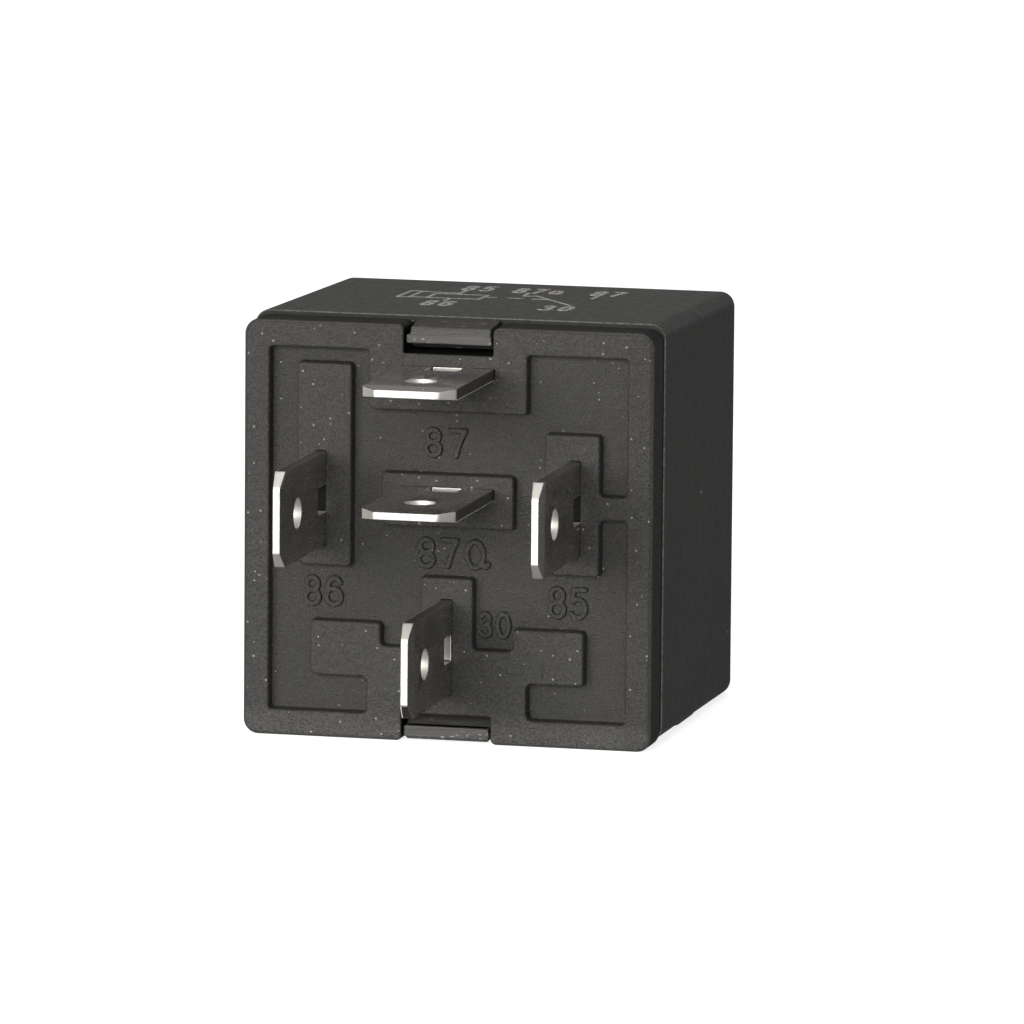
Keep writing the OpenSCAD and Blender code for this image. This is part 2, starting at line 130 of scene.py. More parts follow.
class Shell:
    """Vertices and faces of one or more closed surfaces."""

    def __init__(self):
        self.v, self.f, self.m = [], [], []
        self.mat = 0

    def ring(self, pts):
        i = len(self.v)
        self.v.extend([tuple(map(float, p)) for p in pts])
        return list(range(i, i + len(pts)))

    def face(self, f):
        self.f.append(tuple(f))
        self.m.append(self.mat)

    def quad(self, q):
        q = [x for k, x in enumerate(q) if self.v[x] != self.v[q[k - 1]]]
        if len(q) > 2:
            self.face(q)

    def band(self, a, b):
        n = len(a)
        for i in range(n):
            j = (i + 1) % n
            self.quad([a[i], a[j], b[j], b[i]])

    def fill(self, loops, axes=(0, 2), extra=(), at=None, keep=(), ties=()):
        """Fills the region between closed index loops, with extra inner points given in the plane's two axes."""
        idx = [i for l in loops for i in l] + [i for i in keep]
        pts = [(self.v[i][axes[0]], self.v[i][axes[1]]) for i in idx]
        edges, k = [], 0
        for l in loops:
            n = len(l)
            edges += [(k + i, k + (i + 1) % n) for i in range(n)]
            k += n
        where = {g: n for n, g in enumerate(idx)}
        edges += [(where[a], where[b]) for a, b in ties]
        for e in extra:
            p = [0.0, 0.0, 0.0]
            p[axes[0]], p[axes[1]] = float(e[0]), float(e[1])
            third = 3 - axes[0] - axes[1]
            p[third] = float(at(e)) if callable(at) else float(at)
            idx.append(len(self.v))
            self.v.append(tuple(p))
            pts.append((float(e[0]), float(e[1])))
        out = delaunay_2d_cdt([Vector(p) for p in pts], edges, [], 0, 1e-7, True)
        vo, fo, ov = out[0], out[2], out[3]
        mapped = []
        for i, src in enumerate(ov):
            if src:
                mapped.append(idx[src[0]])
            else:
                p = list(self.v[loops[0][0]])
                p[axes[0]], p[axes[1]] = vo[i][0], vo[i][1]
                mapped.append(len(self.v))
                self.v.append(tuple(p))
        c = np.array([np.mean([vo[i] for i in f], axis=0) for f in fo])
        polys = [[(self.v[i][axes[0]], self.v[i][axes[1]]) for i in l] for l in loops]
        ok = inside(c, polys)
        for f, k in zip(fo, ok):
            if k:
                g = [mapped[i] for i in f]
                if len(set(g)) == 3:
                    self.face(g)

    def object(self, name, mats, smooth=35.0, weld=2e-7, flip_check=True):
        me = bpy.data.meshes.new(name)
        me.from_pydata([tuple(p) for p in put(self.v)], [], self.f)
        bm = bmesh.new()
        bm.from_mesh(me)
        for f, m in zip(bm.faces, self.m):
            f.material_index = m
            f.smooth = True
        bmesh.ops.remove_doubles(bm, verts=bm.verts, dist=weld)
        bmesh.ops.dissolve_degenerate(bm, dist=1e-8, edges=bm.edges)
        loose = [v for v in bm.verts if not v.link_faces]
        if loose:
            bmesh.ops.delete(bm, geom=loose, context="VERTS")
        bmesh.ops.recalc_face_normals(bm, faces=bm.faces)
        lim = math.radians(smooth)
        for e in bm.edges:
            if len(e.link_faces) == 2:
                e.smooth = e.calc_face_angle(0.0) < lim
        bad = sum(1 for e in bm.edges if len(e.link_faces) != 2)
        bm.to_mesh(me)
        bm.free()
        for m in mats:
            me.materials.append(m)
        o = bpy.data.objects.new(name, me)
        scene.collection.objects.link(o)
        print("PIECE", name, "verts", len(me.vertices), "faces", len(me.polygons), "open edges", bad)
        return o


def weighted(o):
    m = o.modifiers.new("weighted", "WEIGHTED_NORMAL")
    m.mode = "FACE_AREA_WITH_ANGLE"
    m.keep_sharp = True
    m.weight = 80
    return o


# ---------------------------------------------------------------------------
# Strokes: figures and lines as the level sets of the distance to a skeleton


def arc(cx, cy, rx, ry, a0, a1, n=24):
    t = np.radians(np.linspace(a0, a1, n + 1))
    return [(cx + rx * math.cos(a), cy + ry * math.sin(a)) for a in t]


def bez(p0, p1, p2, p3, n=12):
    t = np.linspace(0, 1, n + 1)[:, None]
    p0, p1, p2, p3 = map(np.array, (p0, p1, p2, p3))
    q = (1 - t) ** 3 * p0 + 3 * (1 - t) ** 2 * t * p1 + 3 * (1 - t) * t**2 * p2 + t**3 * p3
    return [tuple(x) for x in q]


# Figures in a unit box, as the centre lines of their strokes.
GLYPH = {
    "0": [arc(0.5, 0.5, 0.5, 0.5, 0, 360, 40)],
    "3": [arc(0.42, 0.75, 0.48, 0.25, 150, -78, 20) + arc(0.42, 0.26, 0.56, 0.26, 88, -152, 22)],
    "5": [[(0.95, 1.0), (0.14, 1.0), (0.08, 0.56)] + arc(0.44, 0.33, 0.54, 0.33, 130, -145, 24)],
    "6": [bez((0.92, 0.83), (0.80, 1.06), (0.30, 1.08), (0.10, 0.72), 14)
          + bez((0.10, 0.72), (-0.02, 0.48), (-0.02, 0.34), (0.02, 0.26), 8)[1:],
          arc(0.5, 0.30, 0.5, 0.30, 0, 360, 36)],
    "7": [[(0.0, 1.0), (1.0, 1.0)] + bez((1.0, 1.0), (0.70, 0.60), (0.48, 0.30), (0.40, 0.0), 10)[1:]],
    "8": [arc(0.5, 0.76, 0.43, 0.24, 0, 360, 34), arc(0.5, 0.26, 0.5, 0.26, 0, 360, 36)],
    "a": [arc(0.38, 0.52, 0.38, 0.48, 0, 360, 40), bez((0.72, 0.30), (0.74, 0.05), (0.86, 0.0), (0.98, 0.20), 10)],
}


def figure(ch, x0, z0, x1, z1):
    return [[(x0 + (x1 - x0) * u, z0 + (z1 - z0) * v) for u, v in path] for path in GLYPH[ch]]


def segments(paths):
    a, b = [], []
    for p in paths:
        for i in range(len(p) - 1):
            a.append(p[i])
            b.append(p[i + 1])
    return np.array(a, float), np.array(b, float)


def nearest(points, a, b):
    """Distance to the segments, and the unit direction away from them."""
    points = np.asarray(points, float)
    best = np.full(len(points), 1e9)
    way = np.zeros((len(points), 2))
    d = b - a
    L = np.maximum((d * d).sum(1), 1e-18)
    for k in range(0, len(points), 20000):
        p = points[k : k + 20000]
        t = np.clip((((p[:, None, :] - a[None]) * d[None]).sum(2)) / L[None], 0, 1)
        q = a[None] + t[..., None] * d[None]
        r = p[:, None, :] - q
        dist = np.sqrt((r * r).sum(2))
        j = dist.argmin(1)
        rows = np.arange(len(p))
        best[k : k + 20000] = dist[rows, j]
        way[k : k + 20000] = r[rows, j] / np.maximum(dist[rows, j], 1e-9)[:, None]
    return best, way


def contours(paths, level, step):
    """Closed contours at that distance from the skeleton, with normals pointing away from it."""
    a, b = segments(paths)
    lo = np.minimum(a.min(0), b.min(0)) - level - 2.3 * step
    hi = np.maximum(a.max(0), b.max(0)) + level + 2.3 * step
    nx, ny = (np.ceil((hi - lo) / step).astype(int) + 1).tolist()
    xs, ys = lo[0] + np.arange(nx) * step, lo[1] + np.arange(ny) * step
    gx, gy = np.meshgrid(xs, ys, indexing="ij")
    dist, _ = nearest(np.stack([gx.ravel(), gy.ravel()], 1), a, b)
    s = (dist - level).reshape(nx, ny)
    s[np.abs(s) < 1e-7] = 1e-7
    neg = s < 0
    links = {}

    def cut(i, j, k, l):
        return ((i, j), (k, l)) if (i, j) < (k, l) else ((k, l), (i, j))

    mixed = (neg[:-1, :-1].astype(int) + neg[1:, :-1] + neg[1:, 1:] + neg[:-1, 1:])
    for i, j in np.argwhere((mixed > 0) & (mixed < 4)):
        c = [(i, j), (i + 1, j), (i + 1, j + 1), (i, j + 1)]
        cross = [cut(*c[k], *c[(k + 1) % 4]) for k in range(4) if neg[c[k]] != neg[c[(k + 1) % 4]]]
        if len(cross) == 4:
            mid = sum(s[p] for p in c) < 0
            first = neg[c[0]]
            pairs = [(cross[0], cross[1]), (cross[2], cross[3])] if mid == first else [(cross[3], cross[0]), (cross[1], cross[2])]
        else:
            pairs = [(cross[0], cross[1])]
        for p, q in pairs:
            links.setdefault(p, []).append(q)
            links.setdefault(q, []).append(p)
    seen, loops = set(), []
    for start in links:
        if start in seen:
            continue
        loop, prev, cur = [], None, start
        while cur not in seen:
            seen.add(cur)
            loop.append(cur)
            nxt = [x for x in links[cur] if x != prev and x not in seen]
            prev = cur
            if not nxt:
                break
            cur = nxt[0]
        if len(loop) < 6:
            continue
        pts = []
        for (p, q) in loop:
            t = s[p] / (s[p] - s[q])
            pts.append((xs[p[0]] + t * (xs[q[0]] - xs[p[0]]), ys[p[1]] + t * (ys[q[1]] - ys[p[1]])))
        pts = np.array(pts)
        for _ in range(2):
            dd, w = nearest(pts, a, b)
            pts = pts + w * (level - dd)[:, None]
        out = [pts[0]]
        for p in pts[1:]:
            if np.linalg.norm(p - out[-1]) > 0.55 * step:
                out.append(p)
        if np.linalg.norm(out[0] - out[-1]) < 0.55 * step:
            out.pop()
        out = np.array(out)
        _, w = nearest(out, a, b)
        loops.append((out, w))
    return loops


def strokes(shell, paths, width, profile, lift, step=0.045, plane="xz"):
    """Adds raised lines to a shell. profile lists (distance out from the line's edge, height), from the foot to the top.
    lift(u, v, h) gives the 3-D point at height h."""
    loops = contours(paths, width / 2, step)
    rings = []
    for off, h in profile:
        ring = []
        for pts, w in loops:
            q = pts + w * off
            ring.append(shell.ring([lift(u, v, h) for u, v in q]))
        rings.append(ring)
    for r0, r1 in zip(rings[:-1], rings[1:]):
        for a, b in zip(r0, r1):
            shell.band(a, b)
    axes = (0, 2) if plane == "xz" else (0, 1)
    shell.fill(rings[-1], axes)
    shell.fill(rings[0], axes)


# ---------------------------------------------------------------------------
# Materials


class Nodes:
    def __init__(self, name):
        self.mat = bpy.data.materials.new(name)
        self.mat.use_nodes = True
        self.t = self.mat.node_tree
        self.t.nodes.clear()
        self.out = self.t.nodes.new("ShaderNodeOutputMaterial")
        self.bsdf = self.t.nodes.new("ShaderNodeBsdfPrincipled")
        self.t.links.new(self.bsdf.outputs[0], self.out.inputs[0])
        self.coord = self.t.nodes.new("ShaderNodeTexCoord").outputs["Object"]

    def node(self, kind, **kw):
        n = self.t.nodes.new(kind)
        for k, v in kw.items():
            setattr(n, k, v)
        return n

    def link(self, a, b):
        self.t.links.new(a, b)

    def scaled(self, sx, sy, sz, loc=(0, 0, 0), rot=(0, 0, 0)):
        n = self.node("ShaderNodeMapping")
        n.inputs["Scale"].default_value = (sx, sy, sz)
        n.inputs["Location"].default_value = loc
        n.inputs["Rotation"].default_value = rot
        self.link(self.coord, n.inputs["Vector"])
        return n.outputs[0]

    def noise(self, vec, scale, detail=2.0, rough=0.5, dist=0.0):
        n = self.node("ShaderNodeTexNoise")
        n.inputs["Scale"].default_value = scale
        n.inputs["Detail"].default_value = detail
        n.inputs["Roughness"].default_value = rough
        n.inputs["Distortion"].default_value = dist
        self.link(vec, n.inputs["Vector"])
        return n.outputs["Fac"]

    def ramp(self, fac, stops, interp="LINEAR"):
        n = self.node("ShaderNodeValToRGB")
        n.color_ramp.interpolation = interp
        e = n.color_ramp.elements
        while len(e) > 1:
            e.remove(e[-1])
        e[0].position, e[0].color = stops[0][0], col(stops[0][1])
        for p, c in stops[1:]:
            x = e.new(p)
            x.color = col(c)
        self.link(fac, n.inputs["Fac"])
        return n.outputs["Color"]

    def math(self, op, a, b=None, clamp=False):
        n = self.node("ShaderNodeMath", operation=op, use_clamp=clamp)
        for i, x in enumerate((a, b)):
            if x is None:
                continue
            if isinstance(x, (int, float)):
                n.inputs[i].default_value = x
            else:
                self.link(x, n.inputs[i])
        return n.outputs[0]

    def range(self, v, a, b, c, d):
        n = self.node("ShaderNodeMapRange")
        n.clamp = True
        for k, x in zip(("From Min", "From Max", "To Min", "To Max"), (a, b, c, d)):
            n.inputs[k].default_value = x
        self.link(v, n.inputs["Value"])
        return n.outputs[0]

    def mix(self, fac, a, b, mode="MIX"):
        n = self.node("ShaderNodeMix", data_type="RGBA", blend_type=mode)
        for key, x in ((0, fac), (6, a), (7, b)):
            if isinstance(x, (int, float)):
                n.inputs[key].default_value = x
            elif isinstance(x, tuple):
                n.inputs[key].default_value = col(x)
            else:
                self.link(x, n.inputs[key])
        return n.outputs[2]

    def bump(self, height, strength, distance, normal=None):
        n = self.node("ShaderNodeBump")
        n.inputs["Strength"].default_value = strength
        n.inputs["Distance"].default_value = distance
        self.link(height, n.inputs["Height"])
        if normal is not None:
            self.link(normal, n.inputs["Normal"])
        return n.outputs[0]

    def set(self, **kw):
        for k, v in kw.items():
            s = self.bsdf.inputs[k.replace("_", " ")]
            if isinstance(v, (int, float)):
                s.default_value = v
            elif isinstance(v, tuple):
                s.default_value = col(v)
            else:
                self.link(v, s)


def col(c):
    return tuple(c) if len(c) == 4 else (c[0], c[1], c[2], 1.0)


def grey(g, warm=0.0):
    return (g * (1 + warm), g, g * (1 - 1.3 * warm))


def specks(n, cell, size, share, seed):
    """Mask of small round specks: about `share` of the cells hold one."""
    v = n.node("ShaderNodeTexVoronoi")
    v.inputs["Scale"].default_value = 1000.0 / cell
    v.inputs["Randomness"].default_value = 1.0
    n.link(n.scaled(1, 1, 1, loc=(seed, seed * 1.7, seed * 0.6)), v.inputs["Vector"])
    pick = n.node("ShaderNodeSeparateColor")
    n.link(v.outputs["Color"], pick.inputs[0])
    chosen = n.math("LESS_THAN", pick.outputs[0], share)
    grown = n.math("MULTIPLY", pick.outputs[1], size / cell)
    near = n.math("LESS_THAN", v.outputs["Distance"], grown)
    return n.math("MULTIPLY", chosen, near)


def plastic(name, tone, rough, grain, seed, spec=0.5, dust=1.0, fine=7000.0, contrast=0.35, painted_light=False):
    n = Nodes(name)
    v = n.scaled(1, 1, 1, loc=(seed, 0, 0))
    broad = n.noise(v, 180.0, 3.0)
    mid = n.noise(v, 1400.0, 3.0)
    grains = n.noise(v, fine, 3.0, 0.6)
    c = n.ramp(broad, [(0.3, grey(tone * 0.92, 0.02)), (0.7, grey(tone * 1.08, 0.03))])
    c = n.mix(contrast, c, n.ramp(grains, [(0.35, grey(tone * 0.45, 0.02)), (0.65, grey(tone * 1.7, 0.03))]))
    if painted_light:
        # painted light: the front of the rim's lower side is painted paler as a painted highlight; everything set back
        # from the face (recess floor, walls and flange sides) is painted a little darker as painted shade, and so is
        # the plate's right edge
        xyz = n.node("ShaderNodeSeparateXYZ")
        n.link(n.coord, xyz.inputs[0])
        low = n.range(xyz.outputs[2], 0.0010, 0.0021, 1.0, 0.0)
        deep = n.range(xyz.outputs[1], (SEAT_Y + 0.3) * 0.001, (SEAT_Y + 0.75) * 0.001, 0.0, 1.0)
        right = n.range(xyz.outputs[0], 0.0114, 0.0126, 0.0, 1.0)
        front = n.range(xyz.outputs[1], (SEAT_Y + 0.4) * 0.001, (SEAT_Y + 0.9) * 0.001, 1.0, 0.0)
        c = n.mix(n.math("MULTIPLY", low, front), c, n.mix(1.0, c, (1.48, 1.48, 1.48), "MULTIPLY"))
        c = n.mix(n.math("MULTIPLY", deep, 0.9), c, n.mix(1.0, c, (0.87, 0.87, 0.87), "MULTIPLY"))
        c = n.mix(n.math("MULTIPLY", right, 0.9), c, n.mix(1.0, c, (0.86, 0.86, 0.86), "MULTIPLY"))
    # dust: many fine specks and a few larger ones
    fine_dust = specks(n, 0.40, 0.075, 0.10 * dust, seed)
    big_dust = specks(n, 1.9, 0.11, 0.22 * dust, seed + 11)
    c = n.mix(n.math("MULTIPLY", fine_dust, 0.55), c, (0.30, 0.29, 0.27))
    c = n.mix(n.math("MULTIPLY", big_dust, 0.75), c, (0.46, 0.45, 0.42))
    r = n.range(mid, 0.3, 0.7, rough - 0.05, rough + 0.05)
    r = n.math("ADD", r, n.range(grains, 0.3, 0.7, -0.05, 0.05))
    b = n.bump(grains, 1.0, grain)
    b = n.bump(mid, 1.0, min(grain * 0.5, 0.000012), b)
    n.set(Base_Color=c, Roughness=r, Normal=b)
    n.bsdf.inputs["Specular IOR Level"].default_value = spec
    return n.mat


def tongue_plastic(name, tone):
    """Cover plastic painted lighter than the cover, as painted light on the tongue faces: fine lines across, with a few
    bright flecks.
    """
    n = Nodes(name)
    lines = n.noise(n.scaled(260, 4200, 5200), 1.0, 3.0, 0.6)
    spots = n.noise(n.scaled(1900, 4200, 5200, loc=(3, 1, 2)), 1.0, 2.0, 0.5)
    where = n.noise(n.scaled(160, 900, 1400, loc=(6, 4, 1)), 1.0, 2.0, 0.5)
    grains = n.noise(n.scaled(1, 1, 1), 5200.0, 3.0, 0.6)
    c = n.ramp(lines, [(0.3, grey(tone * 0.62, 0.03)), (0.7, grey(tone * 1.5, 0.03))])
    c = n.mix(0.35, c, n.ramp(grains, [(0.35, grey(tone * 0.5, 0.02)), (0.65, grey(tone * 1.6, 0.03))]))
    bright_flecks = n.math("MULTIPLY", n.range(spots, 0.60, 0.70, 0.0, 1.0), n.range(where, 0.50, 0.58, 0.0, 1.0))
    c = n.mix(n.math("MULTIPLY", bright_flecks, 0.8), c, (0.32, 0.31, 0.29))
    b = n.bump(lines, 1.0, 0.000016)
    b = n.bump(grains, 1.0, 0.000020, b)
    n.set(Base_Color=c, Roughness=n.range(grains, 0.3, 0.7, 0.42, 0.60), Normal=b)
    n.bsdf.inputs["Specular IOR Level"].default_value = 0.4
    return n.mat


def tin(name, tone=0.72, rough=0.16, seed=0.0, along="y", dust=0.05):
    """Bright plated blade: drawn lines along its length, and rough bands where it was cut."""
    n = Nodes(name)
    v = n.scaled(1, 1, 1, loc=(seed, 0, 0))
    lines = n.scaled(9000, 260, 9000, loc=(seed, 0, 0)) if along == "y" else n.scaled(9000, 9000, 260, loc=(seed, 0, 0))
    drawn = n.noise(lines, 1.0, 3.0, 0.6)
    broad = n.noise(v, 350.0, 3.0)
    fine = n.noise(v, 9000.0, 2.0)
    scratch = n.noise(n.scaled(2200, 500, 2600, loc=(seed + 3, 1, 2), rot=(0.4, 0.2, 0.7)), 1.0, 2.0, 0.5, 1.5)
    c = n.ramp(broad, [(0.3, grey(tone * 0.93, 0.03)), (0.7, grey(tone * 1.04, 0.02))])
    c = n.mix(0.12, c, n.ramp(drawn, [(0.3, grey(tone * 0.8, 0.03)), (0.7, grey(tone * 1.08, 0.02))]))
    d = specks(n, 0.5, 0.10, dust, seed + 5)
    c = n.mix(n.math("MULTIPLY", d, 0.8), c, (0.75, 0.72, 0.66))
    r = n.range(drawn, 0.3, 0.7, rough - 0.02, rough + 0.03)
    r = n.math("ADD", r, n.range(broad, 0.35, 0.7, -0.02, 0.05))
    r = n.math("ADD", r, n.math("MULTIPLY", d, 0.5), clamp=True)
    b = n.bump(drawn, 1.0, 0.00000025)
    b = n.bump(scratch, 1.0, 0.0000003, b)
    b = n.bump(fine, 1.0, 0.00000015, b)
    n.set(Base_Color=c, Roughness=r, Normal=b)
    n.bsdf.inputs["Metallic"].default_value = 1.0
    return n.mat


def metal(name, colour, rough, seed, grain=0.000002, scale=3000.0, stretch=(1, 1, 1)):
    n = Nodes(name)
    v = n.scaled(*stretch, loc=(seed, 0, 0))
    a = n.noise(v, scale, 3.0, 0.6)
    b = n.noise(v, scale * 0.12, 3.0)
    c = n.ramp(b, [(0.3, tuple(x * 0.82 for x in colour)), (0.7, tuple(min(1.0, x * 1.08) for x in colour))])
    c = n.mix(0.3, c, n.ramp(a, [(0.35, tuple(x * 0.75 for x in colour)), (0.65, tuple(min(1.0, x * 1.1) for x in colour))]))
    n.set(Base_Color=c, Roughness=n.range(a, 0.3, 0.7, rough - 0.07, rough + 0.09), Normal=n.bump(a, 1.0, grain))
    n.bsdf.inputs["Metallic"].default_value = 1.0
    return n.mat


# M_base carries painted light: a painted highlight on the lower rim, and painted shade in the recess and along the
# right edge
M_base = plastic("moulded_base", 0.0245, 0.50, 0.000105, 1.0, spec=0.38, fine=8000.0, contrast=0.85, dust=3.4, painted_light=True)
# painted highlight: a paler plastic for one band of the base's outer edge rounding
M_base_edge_highlight = plastic("moulded_base_painted_edge_highlight", 0.044, 0.46, 0.000040, 6.0, spec=0.45, fine=6500.0, contrast=0.6, dust=2.0)
# painted highlight: a paler plastic along the cover lip's rounded edge, with dust specks
M_lip_highlight = plastic("moulded_cover_painted_lip_highlight", 0.085, 0.46, 0.000020, 7.0, spec=0.45, fine=3000.0, contrast=0.8, dust=4.0)
M_flange = plastic("moulded_base_edge", 0.024, 0.66, 0.000050, 3.0, spec=0.12, fine=6500.0, contrast=0.4)
# painted shade: near-black plastic on the cover lip's front face and its first front rounding band
M_lip_shade = plastic("moulded_cover_lip_painted_shade", 0.010, 0.60, 0.000008, 5.0, spec=0.20, dust=0.6)
M_cover = plastic("moulded_cover", 0.0225, 0.42, 0.000006, 4.0, spec=0.50, dust=0.5, fine=6000.0, contrast=0.15)
# painted shade: near-black plastic on the base's notch walls and on the window walls of blades 85 and 86
M_painted_shade = plastic("painted_shade_near_black", 0.006, 0.70, 0.000020, 2.0, spec=0.10, dust=0.4)
# the tongue's tone is set lighter than the cover's, as painted light
M_tongue = tongue_plastic("moulded_tongue", 0.036)
M_tin = tin("plated_blade", 0.68, 0.24)
M_cut = tin("cut_tip", 0.76, 0.62, seed=2.0)
M_side = tin("cut_side", 0.26, 0.34, seed=3.0)
# painted highlight: pale plastic along one rounded edge of each blade
M_blade_edge_highlight = plastic("blade_painted_edge_highlight", 0.46, 0.55, 0.000004, 13.0, spec=0.5, fine=4000.0, contrast=0.5)
M_ink = Nodes("white_ink")
_v = M_ink.scaled(1, 1, 1)
_a = M_ink.noise(_v, 5000.0, 3.0)
M_ink.set(Base_Color=M_ink.ramp(_a, [(0.35, grey(0.22)), (0.60, grey(0.50))]), Roughness=M_ink.range(_a, 0.3, 0.7, 0.5, 0.7),
          Normal=M_ink.bump(_a, 1.0, 0.000004))
M_ink = M_ink.mat
M_iron = metal("plated_iron", (0.60, 0.60, 0.58), 0.34, 7.0)
M_core = metal("turned_iron", (0.56, 0.56, 0.55), 0.30, 8.0, stretch=(1, 6, 1))
M_bronze = metal("spring_bronze", (0.76, 0.52, 0.30), 0.26, 9.0, stretch=(5, 1, 1))
M_rivet = metal("rivet_steel", (0.62, 0.62, 0.60), 0.30, 10.0)
M_silver = metal("contact_silver", (0.86, 0.85, 0.82), 0.22, 11.0, grain=0.000003)
M_solder = metal("solder", (0.66, 0.67, 0.68), 0.24, 12.0, grain=0.000006, scale=900.0)


def enamel(name):
    n = Nodes(name)
    v = n.scaled(1, 1, 1)
    a = n.noise(v, 1500.0, 3.0)
    c = n.ramp(a, [(0.3, (0.34, 0.10, 0.03)), (0.7, (0.55, 0.19, 0.06))])
    n.set(Base_Color=c, Roughness=n.range(a, 0.3, 0.7, 0.16, 0.30), Normal=n.bump(a, 1.0, 0.000003))
    n.bsdf.inputs["Metallic"].default_value = 0.7
    n.bsdf.inputs["Coat Weight"].default_value = 0.6
    n.bsdf.inputs["Coat Roughness"].default_value = 0.12
    return n.mat


M_enamel = enamel("enamelled_copper")


def nylon(name):
    n = Nodes(name)
    v = n.scaled(1, 1, 1)
    a = n.noise(v, 2600.0, 3.0)
    b = n.noise(v, 200.0, 2.0)
    c = n.ramp(b, [(0.3, (0.66, 0.62, 0.52)), (0.7, (0.74, 0.71, 0.62))])
    n.set(Base_Color=c, Roughness=n.range(a, 0.3, 0.7, 0.38, 0.52), Normal=n.bump(a, 1.0, 0.000005))
    n.bsdf.inputs["Subsurface Weight"].default_value = 0.08
    n.bsdf.inputs["Subsurface Radius"].default_value = (0.0006, 0.0005, 0.0003)
    return n.mat


M_nylon = nylon("bobbin_nylon")

# ---------------------------------------------------------------------------
# Base plate

RIM = HALF - 1.75
FLOOR = 0.85
THICK = 2.8
NW, NZ, NLEDGE = 3.05, 12.0, 12.0
BLADE_X, BLADE_Z, NO_Z, NC_Z, COM_Z = 8.65, 2.15, 10.8, 2.8, -7.45
PAD_R = 0.27


def notched(half, r, nz, seg=8):
    """Square outline with the two notches. The same point count at every size."""
    n = min(nz, half - 0.02)
    e = min(0.40, (half - n) * 0.49)
    g = min(0.12, (half - n) * 0.49)
    c = [(-half, -half, r), (-NW, -half, e), (-NW, -n, g), (NW, -n, g), (NW, -half, e), (half, -half, r),
         (half, half, r), (NW, half, e), (NW, n, g), (-NW, n, g), (-NW, half, e), (-half, half, r)]
    return outline(c, seg)


def raised(P, z0, ledge):
    """The same outline with its lower side 0.15 higher, outside the notch."""
    Q = P.copy()
    low = (Q[:, 1] < -z0) & ~((np.abs(Q[:, 0]) < NW + 0.05) & (Q[:, 1] > -ledge - 0.02))
    Q[low, 1] += 0.15
    return Q


